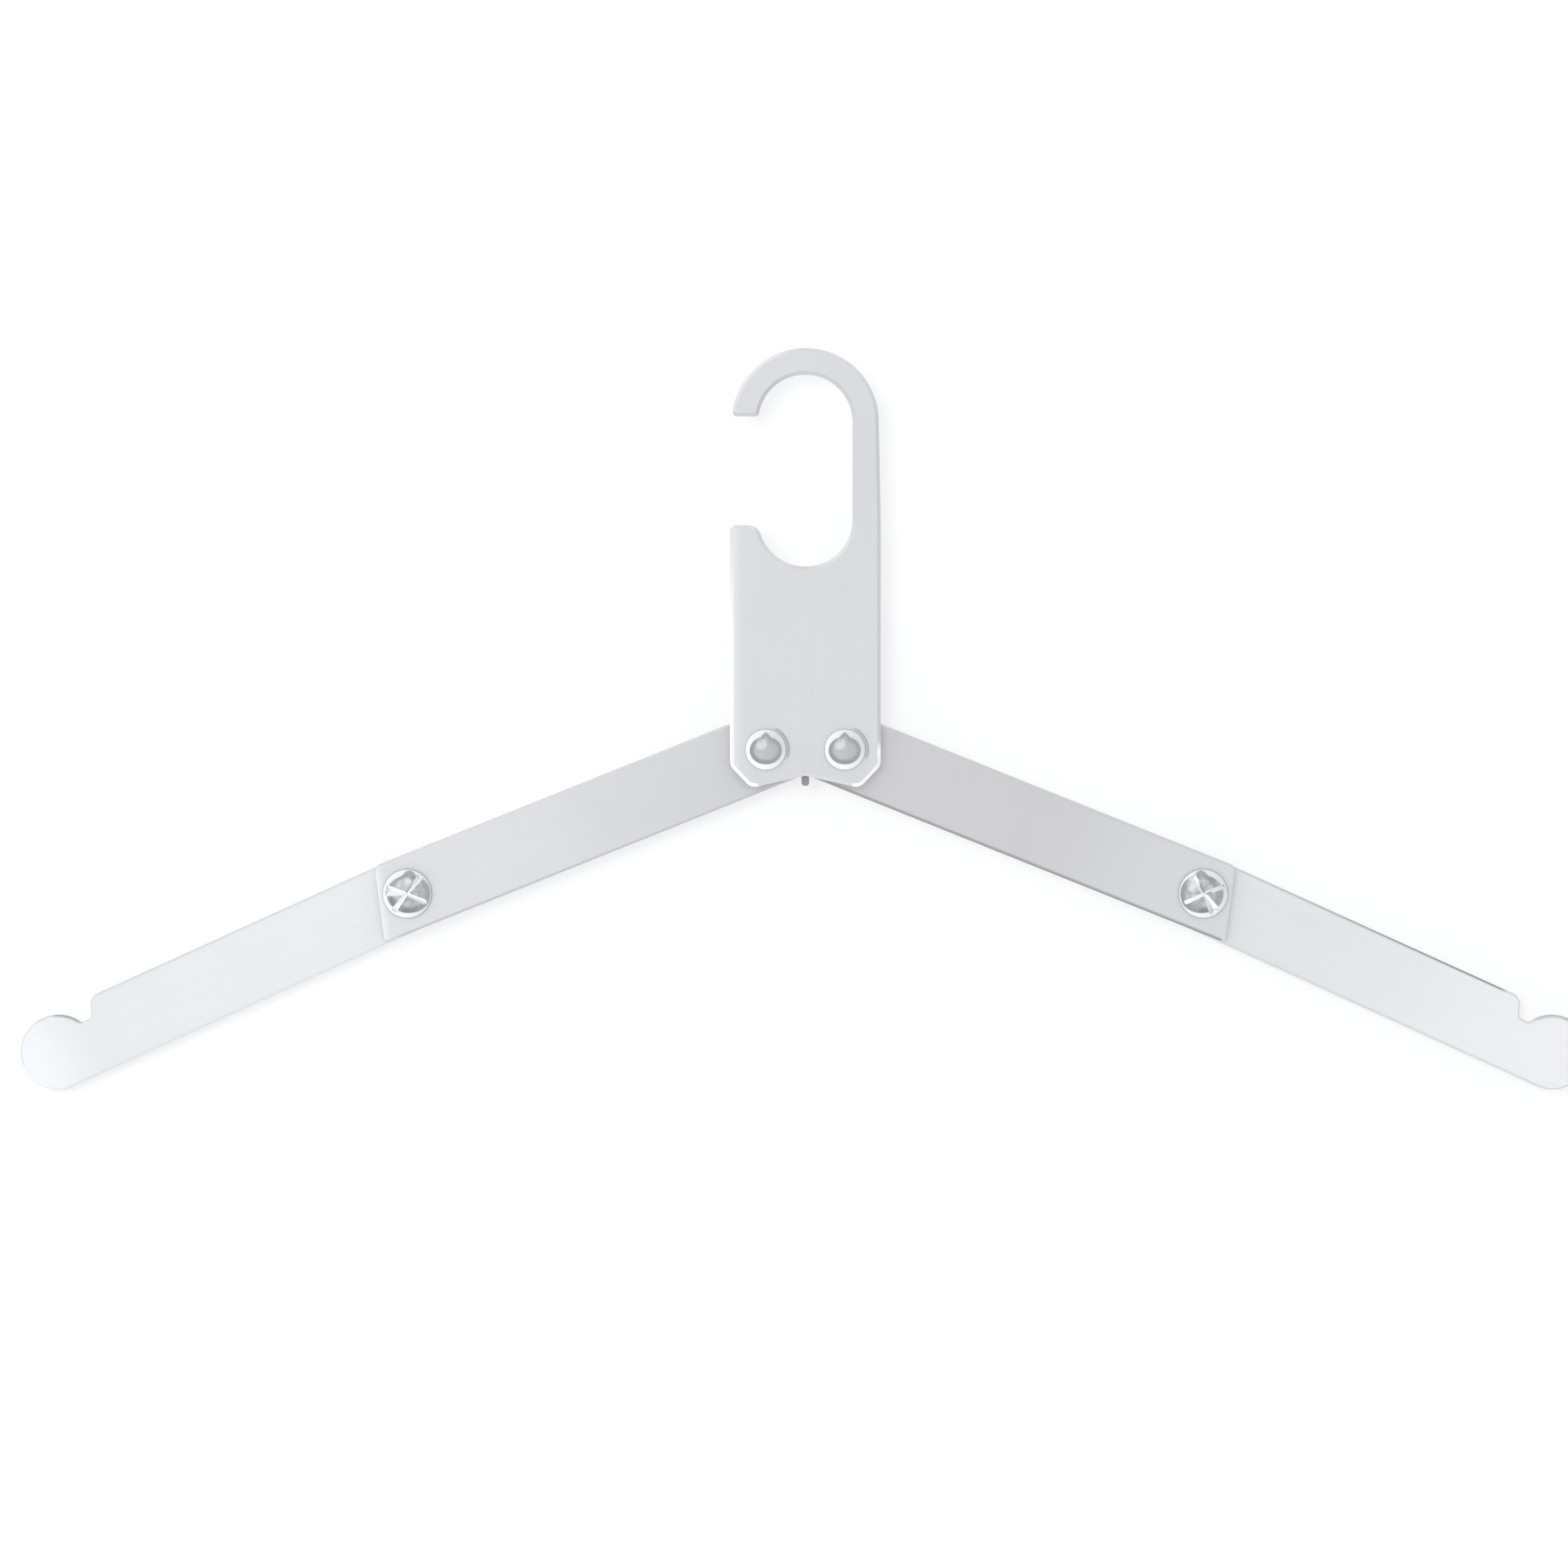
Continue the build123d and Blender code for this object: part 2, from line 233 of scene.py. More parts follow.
class Tree:
    """A node tree with short calls for adding, feeding and joining nodes."""

    MIX_INPUTS = (0, 6, 7)  # the Mix node's share and its two colours
    MIX_OUTPUT = 2  # its mixed colour

    def __init__(self, tree: bpy.types.NodeTree) -> None:
        """Takes the tree to draw in."""
        self.tree = tree

    def feed(self, node: bpy.types.Node, inputs: Inputs) -> None:
        """Joins outputs to a node's inputs, by name or number, or sets the inputs to plain values."""
        for key, value in inputs.items():
            if isinstance(value, bpy.types.NodeSocket):
                self.tree.links.new(value, node.inputs[key])
            else:
                node.inputs[key].default_value = value

    def add(self, kind: str, inputs: Optional[Inputs] = None, **settings: object) -> bpy.types.NodeOutputs:
        """Adds a node with the named properties, feeds its inputs and gives its outputs."""
        node = self.tree.nodes.new(kind)
        for name, value in settings.items():
            setattr(node, name, value)
        self.feed(node, inputs or {})
        return node.outputs

    def calc(self, operation: str, *values: Feed, clamp: bool = False) -> Socket:
        """A Math node on up to three values."""
        return self.add("ShaderNodeMath", dict(enumerate(values)), operation=operation, use_clamp=clamp)[0]

    def times(self, first: Feed, second: Feed) -> Socket:
        """The product of two values."""
        return self.calc("MULTIPLY", first, second)

    def less(self, first: Feed, second: Feed) -> Socket:
        """The first value less the second."""
        return self.calc("SUBTRACT", first, second)

    def size(self, value: Feed) -> Socket:
        """A value without its sign."""
        return self.calc("ABSOLUTE", value)

    def scaled(self, value: Feed, by: Feed, plus: Feed) -> Socket:
        """A value times one number, plus another."""
        return self.calc("MULTIPLY_ADD", value, by, plus)

    def rise(self, value: Feed, start: Feed, full: Feed) -> Socket:
        """A smooth step: 0 where the value is at the start or before it, and 1 where it is full or past."""
        inputs = {"Value": value, "From Min": start, "From Max": full}
        return self.add("ShaderNodeMapRange", inputs, interpolation_type="SMOOTHSTEP")["Result"]

    def vector(self, operation: str, *values: Feed, output: str = "Vector") -> Socket:
        """A Vector Math node. Its number is its output Value."""
        return self.add("ShaderNodeVectorMath", dict(enumerate(values)), operation=operation)[output]

    def flat(self, place: Socket) -> Socket:
        """A place without its depth."""
        return self.vector("MULTIPLY", place, (1.0, 0.0, 1.0))

    def facing(self, normal: Socket) -> Socket:
        """How squarely a normal points along Y: the size of its share along Y."""
        return self.size(self.vector("DOT_PRODUCT", normal, (0.0, 1.0, 0.0), output="Value"))

    def axes(self, place: Socket) -> list[Socket]:
        """A place's X, Y and Z."""
        return list(self.add("ShaderNodeSeparateXYZ", {0: place}))

    def mapping(self, place: Socket, **parts: Triple) -> Socket:
        """A place after a Mapping node with the named location, rotation or scale."""
        inputs = {name.title(): part for name, part in parts.items()}
        return self.add("ShaderNodeMapping", {"Vector": place, **inputs})[0]

    def blend(self, share: Feed, first: Feed, second: Feed) -> Socket:
        """A colour that goes from the first to the second as the share goes from 0 to 1."""
        values = [(*value, 1.0) if isinstance(value, tuple) else value for value in (share, first, second)]
        inputs = dict(zip(self.MIX_INPUTS, values))
        return self.add("ShaderNodeMix", inputs, data_type="RGBA")[self.MIX_OUTPUT]

    def noise(self, place: Socket, scale: Feed, detail: float, rough: float = 0.55) -> Socket:
        """The value of a 3D noise, which is 0.5 on average."""
        inputs = {"Vector": place, "Scale": scale, "Detail": detail, "Roughness": rough}
        return self.add("ShaderNodeTexNoise", inputs, noise_dimensions="3D")["Fac"]

    def bump(self, height: Socket, strength: float, depth: float) -> Socket:
        """The normal that a height gives."""
        return self.add("ShaderNodeBump", {"Strength": strength, "Distance": depth, "Height": height})[0]

    def group(self, tree: bpy.types.NodeTree, **values: Feed) -> bpy.types.NodeOutputs:
        """Places a shader group and feeds its named inputs; an underscore in a name stands for a space."""
        inputs = {name.replace("_", " ").title(): value for name, value in values.items()}
        return self.add("ShaderNodeGroup", inputs, node_tree=tree)

    def close(self, **outputs: Feed) -> bpy.types.NodeTree:
        """Ends a group: feeds its named outputs and gives its tree."""
        self.add("NodeGroupOutput", {name.title(): value for name, value in outputs.items()})
        return self.tree


def new_group(name: str, inputs: list[str], outputs: list[str]) -> tuple[Tree, dict[str, Socket]]:
    """An empty shader group. Sockets for a place, a centre or a direction are vectors, the others numbers.

    Args:
        name: The group's name.
        inputs: Its inputs' names.
        outputs: Its outputs' names.

    Returns:
        The tree and its inputs by name.
    """
    made = bpy.data.node_groups.new(name, "ShaderNodeTree")
    for direction, labels in (("INPUT", inputs), ("OUTPUT", outputs)):
        for label in labels:
            kind = "Vector" if label in ("Place", "Centre", "Normal", "Facing") else "Float"
            made.interface.new_socket(label, in_out=direction, socket_type=f"NodeSocket{kind}")
    tree = Tree(made)
    entry = tree.add("NodeGroupInput")
    return tree, {label: entry[label] for label in inputs}


def brushed_grain_group() -> bpy.types.NodeTree:
    """Satin grain along local X: two noises pulled long in X, one fine and one coarse.

    Returns:
        The group, with outputs Height and Tone, which is 0 on average.
    """
    tree, given = new_group("BrushedGrain", ["Place", "Run", "Cross"], ["Height", "Tone"])
    pull = tree.add("ShaderNodeCombineXYZ", {"X": given["Run"], "Y": given["Cross"], "Z": given["Cross"]})[0]
    pulled = tree.vector("MULTIPLY", given["Place"], pull)
    fine = tree.noise(pulled, scale=1.0, detail=5.0, rough=0.7)
    coarse = tree.noise(pulled, scale=0.22, detail=3.0)
    tone = tree.less(tree.calc("ADD", fine, coarse), 1.0)
    return tree.close(height=tree.scaled(coarse, by=0.5, plus=fine), tone=tone)


def rim_group() -> bpy.types.NodeTree:
    """Where the sheet turns away from its flat face: its rim with a thin strip beside it, and its side wall.

    The strip lies along both long edges. The end leans if the slant isn't 0, one way across the whole
    sheet or, mirrored, away from the middle line on both sides. Every piece turns about Y only, so the
    share of the normal along Y is the same in every pose.

    Returns:
        The group, with outputs Rim, Wall, Near, which grows over the strip before the end, Tip, which is 1
        round the end, and Side, which is 0 below the middle line and 1 above it.
    """
    inputs = ["Normal", "Along", "Across", "Start", "Full", "Half", "Strip", "Slant", "Mirror", "End"]
    tree, given = new_group("SheetRim", [*inputs, "End Strip"], ["Rim", "Wall", "Near", "Tip", "Side"])
    facing = tree.facing(given["Normal"])
    across = given["Across"]
    both = tree.size(across)
    turned = tree.rise(facing, given["Start"], given["Full"])
    strip = tree.rise(both, tree.less(given["Half"], given["Strip"]), given["Half"])
    mirrored = tree.scaled(tree.less(both, across), by=given["Mirror"], plus=across)
    left = tree.less(given["End"], tree.scaled(mirrored, by=given["Slant"], plus=given["Along"]))
    tip_start, tip_full = (tree.times(given["End Strip"], share) for share in (1.8, 1.2))
    return tree.close(
        rim=tree.calc("MAXIMUM", turned, strip),
        near=tree.rise(left, start=given["End Strip"], full=0.0),
        wall=tree.rise(facing, start=0.62, full=0.2),
        tip=tree.rise(left, tip_start, tip_full),
        side=tree.rise(across, start=-1 * MM, full=1 * MM),
    )


def sheen_group() -> bpy.types.NodeTree:
    """A soft painted sheen along the upper edge: the square of the share of its width that is left to the
    edge.

    Returns:
        The group, with output Mask.
    """
    tree, given = new_group("EdgeSheen", ["Across", "Half", "Width"], ["Mask"])
    left = tree.less(given["Half"], given["Across"])
    share = tree.calc("SUBTRACT", 1.0, tree.calc("DIVIDE", left, given["Width"]), clamp=True)
    return tree.close(mask=tree.times(share, share))


def painted_arc_group() -> bpy.types.NodeTree:
    """A painted line of shade: a thin band inside a circle, within a sector of it.

    The sector is complete 0.6 of the way from the cosine where it ends to 1.

    Returns:
        The group, with output Mask.
    """
    inputs = ["Place", "Centre", "Facing", "Radius", "Width", "Reach", "Fade"]
    tree, given = new_group("PaintedArcShade", inputs, ["Mask"])
    radius = given["Radius"]
    flat = tree.flat(tree.vector("SUBTRACT", given["Place"], given["Centre"]))
    away = tree.vector("LENGTH", flat, output="Value")
    inside = tree.rise(away, tree.less(radius, given["Width"]), radius)
    outside = tree.rise(away, tree.calc("ADD", radius, given["Fade"]), radius)
    toward = tree.vector("DOT_PRODUCT", tree.vector("NORMALIZE", flat), given["Facing"], output="Value")
    sector = tree.rise(toward, given["Reach"], tree.scaled(given["Reach"], by=0.4, plus=0.6))
    return tree.close(mask=tree.times(tree.times(inside, outside), sector))


def scratch_group() -> bpy.types.NodeTree:
    """Hairline scratches: the crests of two noises pulled long in two directions, cut thin.

    Returns:
        The group, with output Mask.
    """
    tree, given = new_group("HairScratches", ["Place", "Scale"], ["Mask"])
    place = given["Place"]
    layers = []
    for turn, seed in ((0.35, 0.0), (-1.1, 3.7)):
        pulled = tree.mapping(
            place, location=(seed, 0.0, seed), rotation=(0.0, turn, 0.0), scale=(0.06, 1.0, 1.0)
        )
        crest = tree.size(tree.less(tree.noise(pulled, given["Scale"], detail=1.0), 0.5))
        patch = tree.rise(tree.noise(place, scale=60.0 + seed, detail=1.0), start=0.55, full=0.7)
        layers.append(tree.times(tree.rise(crest, start=0.004, full=0.0), patch))
    return tree.close(mask=tree.calc("MAXIMUM", *layers))


def film_group() -> bpy.types.NodeTree:
    """Handling film: broad soft patches with a finer break-up inside them.

    Returns:
        The group, with output Mask.
    """
    tree, given = new_group("HandlingFilm", ["Place", "Scale"], ["Mask"])
    broad = tree.rise(tree.noise(given["Place"], given["Scale"], detail=2.0), start=0.42, full=0.66)
    fine = tree.noise(given["Place"], scale=tree.times(given["Scale"], 9.0), detail=4.0)
    return tree.close(mask=tree.times(broad, tree.scaled(fine, by=0.6, plus=0.4)))


def turned_rings_group() -> bpy.types.NodeTree:
    """Lathe marks: a sine of the distance from the piece's own axis, broken up by a noise.

    Returns:
        The group, with output Height.
    """
    tree, given = new_group("TurnedRings", ["Place", "Pitch"], ["Height"])
    away = tree.vector("LENGTH", tree.flat(given["Place"]), output="Value")
    wave = tree.calc("SINE", tree.times(tree.calc("DIVIDE", away, given["Pitch"]), 2 * math.pi))
    return tree.close(height=tree.times(wave, tree.noise(given["Place"], scale=900.0, detail=2.0)))


def slope_highlight_group() -> bpy.types.NodeTree:
    """Where steel keeps a painted highlight: wherever it leans from its flat front by more than a few
    degrees.

    Returns:
        The group, with output Mask.
    """
    tree, given = new_group("SlopeHighlight", ["Normal", "Flat", "Steep"], ["Mask"])
    return tree.close(mask=tree.rise(tree.facing(given["Normal"]), given["Flat"], given["Steep"]))


class Groups:
    """The shader groups that the materials share."""

    grain = brushed_grain_group()
    rim = rim_group()
    burr = painted_arc_group()
    sheen = sheen_group()
    slope_highlight = slope_highlight_group()
    scratches = scratch_group()
    film = film_group()
    rings = turned_rings_group()


# Finishes.


@dataclass(frozen=True)
class Finish:
    """What every finish has: its name, and the place and turn of its pattern on the piece."""

    name: str
    centre: Vector = field(default_factory=Vector)  # where the pattern's coordinates start
    turn: float = 0.0  # how far the pattern is turned about Y, in degrees

    def start(self) -> tuple[bpy.types.Material, Tree, bpy.types.Node, Socket]:
        """A new material with its shader and the piece's own coordinates.

        Returns:
            The material, its tree, the Principled shader, and the coordinates in the piece's own frame.
        """
        material = bpy.data.materials.new(self.name)
        material.use_nodes = True
        tree = Tree(material.node_tree)
        shader = next(node for node in material.node_tree.nodes if node.type == "BSDF_PRINCIPLED")
        place = tree.add("ShaderNodeTexCoord")["Object"]
        moved = tree.vector("SUBTRACT", place, tuple(self.centre))
        return material, tree, shader, tree.mapping(moved, rotation=(0.0, math.radians(self.turn), 0.0))


# The plain painted edge shade of a rim.
RIM_GREY: Colour = (0.60, 0.61, 0.625)
NOWHERE = 1.0  # further along than any sheet reaches


@dataclass(frozen=True)
class Line:
    """A rim's painted highlight or shade on one side of a sheet, from a distance along it outwards."""

    colour: Colour
    start: float = -2 * MM  # where it begins, measured along the sheet from the pattern's centre
    full: float = -1 * MM  # where it has its whole strength
    inner: float = 0.0  # how far from the middle line it begins
    inner_fade: float = 1 * MM  # over which it begins there
    stop: float = NOWHERE  # where it has ended again, along the sheet
    stop_fade: float = 2 * MM  # over which it ends


@dataclass(frozen=True)
class PaintedArc:
    """A painted line of shade along a round end, or a painted shadow beside a rivet's dome."""

    colour: Colour
    centre: Triple  # the round form's centre in the sheet's own coordinates
    facing: Triple  # the direction of the sector's middle
    reach: float  # the cosine where the sector ends
    radius: float = 10 * MM  # the round form's radius
    width: float = 1.2 * MM  # the line's width inside it
    fade: float = 0.4 * MM  # how far it fades outside it


@dataclass(frozen=True, kw_only=True)
class SatinSheet(Finish):
    """Satin aluminium sheet with a fine grain, a duller side wall, and painted highlights and shade on its
    face and rims.
    """

    colour: Colour  # the face's colour at the inner end
    tip_colour: Colour  # the face's colour at the outer end; the change to it is painted light
    change: Pair  # where the one begins to turn into the other, and where it has
    rim_colour: Colour  # the colour of a rim that has no line: a painted edge highlight or shade
    above: Line = Line(RIM_GREY)  # the rim's painted line above the middle line
    below: Line = Line(RIM_GREY)  # the rim's painted line below it
    rim_start: float = 0.985  # the normal's share along Y where the rim begins
    rim_full: float = 0.92  # the share where the rim is complete
    half: float = 10 * MM  # half the sheet's width
    strip: float = 0.9 * MM  # how far the lines reach on to the flat face
    end: float = NOWHERE  # where the sheet ends, if it ends straight
    slant: float = 0.0  # how much nearer the end comes for each step upwards
    mirror: float = 0.0  # 1 if both sides lean the same way from the middle line, and otherwise 0
    end_colour: Colour = RIM_GREY  # the painted highlight or shade of the rim at the end
    end_sheen: Colour = RIM_GREY  # the colour that the flat face turns into before the end: a painted highlight or shade
    end_strip: float = 0.9 * MM  # how far before the end that begins
    sheen: Optional[Line] = None  # the soft painted sheen along the upper edge, if it has one
    sheen_width: float = 5 * MM
    # painted lines of shade along round forms
    burrs: tuple[PaintedArc, ...] = ()

    # The grain and the wear: their scales, and what they add to tone, roughness and height.
    roughness: float = 0.5
    grain_run: float = 90.0
    grain_cross: float = 5200.0
    grain_tone: float = 0.05
    grain_rough: float = 0.08
    film_scale: float = 26.0
    film_tone: float = -0.025
    film_rough: float = 0.06
    scratch_scale: float = 420.0
    scratch_rough: float = -0.12
    scratch_height: float = -0.8
    rim_rough: float = -0.16
    wall_rough: float = 0.18
    bump_strength: float = 0.22
    bump_depth: float = 0.01 * MM

    def rim_line(self, tree: Tree, line: Line, distance: Socket, across: Socket) -> Socket:
        """A rim's colour: the line's own where it runs, and the plain rim's elsewhere."""
        share = tree.rise(tree.size(across), line.inner - line.inner_fade, line.inner)
        share = tree.times(share, tree.rise(distance, line.start, line.full))
        share = tree.times(share, tree.rise(distance, line.stop, line.stop - line.stop_fade))
        return tree.blend(share, self.rim_colour, line.colour)

    def make(self) -> bpy.types.Material:
        """Builds the material: its colour, then its roughness, then its grain's height."""
        material, tree, shader, place = self.start()
        along, _, across = tree.axes(place)
        distance = tree.size(along)
        normal = tree.add("ShaderNodeNewGeometry")["Normal"]
        rim = tree.group(
            Groups.rim, normal=normal, along=distance, across=across, start=self.rim_start,
            full=self.rim_full, half=self.half, strip=self.strip, slant=self.slant, mirror=self.mirror,
            end=self.end, end_strip=self.end_strip,
        )
        grain = tree.group(Groups.grain, place=place, run=self.grain_run, cross=self.grain_cross)
        scratches = tree.group(Groups.scratches, place=place, scale=self.scratch_scale)["Mask"]
        film = tree.group(Groups.film, place=place, scale=self.film_scale)["Mask"]

        # Painted light: the face's change along the sheet, its sheen, the band before the end and the rims'
        # lines.
        face = tree.blend(tree.rise(distance, *self.change), self.colour, self.tip_colour)
        shade = tree.scaled(grain["Tone"], by=self.grain_tone, plus=1.0)
        face = tree.vector("MULTIPLY", face, tree.scaled(film, by=self.film_tone, plus=shade))
        if self.sheen:
            sheen = tree.group(Groups.sheen, across=across, half=self.half, width=self.sheen_width)["Mask"]
            sheen = tree.times(sheen, tree.rise(distance, self.sheen.start, self.sheen.full))
            face = tree.blend(sheen, face, self.sheen.colour)
        face = tree.blend(rim["Near"], face, self.end_sheen)
        sides = [self.rim_line(tree, line, distance, across) for line in (self.below, self.above)]
        edge = tree.blend(rim["Tip"], tree.blend(rim["Side"], *sides), self.end_colour)
        whole = tree.blend(rim["Rim"], face, edge)
        # Painted shade: dark lines along round ends and beside rivets.
        for burr in self.burrs:
            mask = tree.group(
                Groups.burr, place=place, centre=burr.centre, facing=burr.facing, radius=burr.radius,
                width=burr.width, reach=burr.reach, fade=burr.fade,
            )["Mask"]
            whole = tree.blend(mask, whole, burr.colour)

        rough = tree.scaled(grain["Tone"], by=self.grain_rough, plus=self.roughness)
        rough = tree.scaled(film, by=self.film_rough, plus=rough)
        rough = tree.scaled(scratches, by=self.scratch_rough, plus=rough)
        rough = tree.scaled(rim["Rim"], by=self.rim_rough, plus=rough)
        rough = tree.scaled(rim["Wall"], by=self.wall_rough, plus=rough)

        height = tree.scaled(scratches, by=self.scratch_height, plus=grain["Height"])
        bump = tree.bump(height, self.bump_strength, self.bump_depth)
        tree.feed(shader, {"Base Color": whole, "Metallic": 1.0, "Roughness": rough, "Normal": bump})
        return material


@dataclass(frozen=True)
class TurnedSteel(Finish):
    """Turned steel, from mirror bright to satin, with faint lathe marks and fingerprints, and on screws
    mottled painted shade on flat parts.
    """

    colour: Colour = (0.56, 0.575, 0.59)
    polish: Polish = Polish.MIRROR
    pitch: float = 0.12 * MM  # the distance between lathe marks
    mark: float = 0.04  # how strongly they show
    dull: Optional[Colour] = None  # the mottled painted shade of flat parts, if slopes keep a painted highlight

    # The mottled painted shade: where the slopes' painted highlight begins and is complete, its patches, and
    # their two tones.
    highlight_flat: float = 0.93
    highlight_steep: float = 0.905
    patch_scale: float = 480.0
    patch_detail: float = 1.5
    patch_step: Pair = (0.38, 0.66)
    patch_light: float = 1.25
    patch_dark: float = 0.9

    # The wear: its scales, and what it does to tone, roughness and height.
    film_scale: float = 260.0
    film_tone: float = 0.95
    film_rough: float = 0.05
    scratch_scale: float = 900.0
    scratch_rough: float = 0.12
    scratch_height: float = -0.5
    bump_depth: float = 0.01 * MM

    def make(self) -> bpy.types.Material:
        """Builds the material."""
        material, tree, shader, place = self.start()
        rings = tree.group(Groups.rings, place=place, pitch=self.pitch)["Height"]
        film = tree.group(Groups.film, place=place, scale=self.film_scale)["Mask"]
        scratches = tree.group(Groups.scratches, place=place, scale=self.scratch_scale)["Mask"]
        tint = tree.blend(film, self.colour, shaded(self.colour, self.film_tone))
        if self.dull:
            normal = tree.add("ShaderNodeNewGeometry")["Normal"]
            slope_highlight = tree.group(
                Groups.slope_highlight, normal=normal, flat=self.highlight_flat, steep=self.highlight_steep
            )["Mask"]
            patches = tree.rise(tree.noise(place, self.patch_scale, self.patch_detail), *self.patch_step)
            dark, light = (shaded(self.dull, share) for share in (self.patch_dark, self.patch_light))
            tint = tree.blend(slope_highlight, tree.blend(patches, dark, light), tint)
        rough = tree.scaled(film, by=self.film_rough, plus=self.polish.value)
        rough = tree.scaled(scratches, by=self.scratch_rough, plus=rough)
        height = tree.scaled(scratches, by=self.scratch_height, plus=rings)
        bump = tree.bump(height, self.mark, self.bump_depth)
        tree.feed(shader, {"Base Color": tint, "Metallic": 1.0, "Roughness": rough, "Normal": bump})
        return material


@dataclass(frozen=True)
class MouldedNylon(Finish):
    """Dark moulded nylon with a fine spark-eroded texture and paler handling film."""

    colour: Colour = (0.188, 0.185, 0.203)
    film_scale: float = 180.0
    film_tone: float = 1.35
    roughness: float = 0.42
    texture_scale: float = 5200.0
    texture_detail: float = 3.0
    texture_rough: float = 0.2
    bump_strength: float = 0.35
    bump_depth: float = 0.02 * MM

    def make(self) -> bpy.types.Material:
        """Builds the material."""
        material, tree, shader, place = self.start()
        texture = tree.noise(place, self.texture_scale, self.texture_detail)
        film = tree.group(Groups.film, place=place, scale=self.film_scale)["Mask"]
        tint = tree.blend(film, self.colour, shaded(self.colour, self.film_tone))
        rough = tree.scaled(texture, by=self.texture_rough, plus=self.roughness)
        bump = tree.bump(texture, self.bump_strength, self.bump_depth)
        tree.feed(shader, {"Base Color": tint, "Roughness": rough, "Normal": bump})
        return material


def dress(piece: bpy.types.Object, finish: Finish) -> None:
    """Gives a piece one material."""
    piece.data.materials.clear()
    piece.data.materials.append(finish.make())


def dress_node(node: str, finish: Finish) -> None:
    """Gives a carried-over CAD node its material."""
    dress(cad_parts[node], finish)
    LOG.info("%s is carried over as %s", node, finish.name)


def place_steel(piece: bpy.types.Object, body: str, node: str, slot: str, **look: object) -> None:
    """Finishes a new steel piece: its body, the CAD node that it stands for, and its material."""
    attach(piece, body)
    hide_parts(node)
    dress(piece, TurnedSteel(f"{node}_steel", centre=middle_of(node), **look))
    LOG.info("%s stands for %s, %d faces", piece.name, node, len(piece.data.polygons))


# Sub-assemblies.


@dataclass
class HookPlate:
    """The hook plate and the moulded yoke behind it. Places on it count down from the hook's centre."""

    body: str = "hook_plate"
    # Painted light: the face's colour changes from ledge to foot, the bevel's colours are painted edge
    # shade, and the bright bevel and the sheen are painted highlights.
    face: Colour = (0.705, 0.709, 0.724)
    foot_face: Colour = (0.714, 0.717, 0.735)
    bevel: Colour = (0.585, 0.59, 0.605)
    bright_bevel: Colour = (0.95, 0.95, 0.96)
    sheen: Colour = (0.865, 0.86, 0.865)
    ledge: float = 30 * MM  # the flat below the hook's throat, where the face's painted change of light starts
    ledge_fade: float = 6 * MM
    foot: float = 88 * MM  # the rivets' height, where it has changed
    bright_left: Pair = (10 * MM, 84 * MM)  # where the left bevel's painted highlight begins, and is complete
    bright_right: Pair = (84 * MM, 88 * MM)  # where the right one's begins, and is complete
    bright_inner: float = 14 * MM  # how far from the middle line a bevel gets the painted highlight
    half: float = 20 * MM
    strip: float = 0.4 * MM
    bevel_start: float = 0.97  # the normal's share along Y where the bevel begins
    bevel_full: float = 0.91
    clip_end: float = 112.4 * MM  # where the clipped corners' lines would meet the middle line
    clip_slant: float = 1.054  # how much higher they lie for each step outwards
    clip_sheen: float = 1.8 * MM  # how far before a clip its painted sheen begins
    # Painted shadow: a grey crescent on the plate beside each rivet's dome, on its right.
    rivet_shadow: Colour = (0.46, 0.46, 0.48)
    rivet_shadow_facing: Triple = (0.38, 0.0, -0.925)
    rivet_shadow_reach: float = 0.6
    rivet_shadow_radius: float = 6.2 * MM
    rivet_shadow_width: float = 0.9 * MM

    def rivet_shadows(self) -> tuple[PaintedArc, ...]:
        """The painted shadows beside both rivets' domes, on their right."""
        places = [middle_of(side.node("shoulder_rivet")) for side in Side]
        return tuple(
            PaintedArc(
                self.rivet_shadow, (place.z, 0.0, -place.x), self.rivet_shadow_facing, self.rivet_shadow_reach, self.rivet_shadow_radius,
                self.rivet_shadow_width,
            )
            for place in places
        )

    def build(self) -> None:
        """Dresses both carried-over nodes.

        The plate's pattern starts at the hook's centre and runs up, so its upper side is the left one.
        """
        plate = SatinSheet(
            "plate_satin", turn=90.0, colour=self.face, tip_colour=self.foot_face,
            change=(self.ledge, self.foot), rim_colour=self.bevel,
            above=Line(self.bright_bevel, *self.bright_left, self.bright_inner),
            below=Line(self.bright_bevel, *self.bright_right, self.bright_inner),
            rim_start=self.bevel_start, rim_full=self.bevel_full, half=self.half, strip=self.strip,
            sheen=Line(self.sheen, self.ledge - self.ledge_fade, self.ledge), burrs=self.rivet_shadows(),
            end=self.clip_end, slant=self.clip_slant, mirror=1.0, end_colour=self.sheen,
            end_sheen=self.sheen, end_strip=self.clip_sheen,
        )
        dress_node(self.body, plate)
        dress_node("shoulder_yoke", MouldedNylon("yoke_nylon", centre=middle_of("shoulder_yoke")))


@dataclass
class Washer:
    """A flat ring with rounded rims in place of a washer's CAD node."""

    node: str  # its box gives the ring's outer radius and depths
    body: str  # the body that it rides on
    bore: float = 2.53 * MM  # its inner radius
    ease: float = 0.1 * MM  # the rounding of its rims
    colour: Colour = (0.70, 0.71, 0.73)
    mark: float = 0.3

    def build(self) -> None:
        """Builds the ring."""
        low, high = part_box(self.node)
        outer = (high.x - low.x) / 2
        between = (self.bore + outer) / 2
        profile = eased([
            (between, low.y, 0.0),
            (outer, low.y, self.ease),
            (outer, high.y, self.ease),
            (self.bore, high.y, self.ease),
            (self.bore, low.y, self.ease),
            (between, low.y, 0.0),
        ])
        ring = turned_piece(f"{self.node}_turned", middle_of(self.node), profile, steps=96)
        look = {"colour": self.colour, "polish": Polish.SATIN, "mark": self.mark}
        place_steel(ring, self.body, self.node, "brushed_washer", **look)


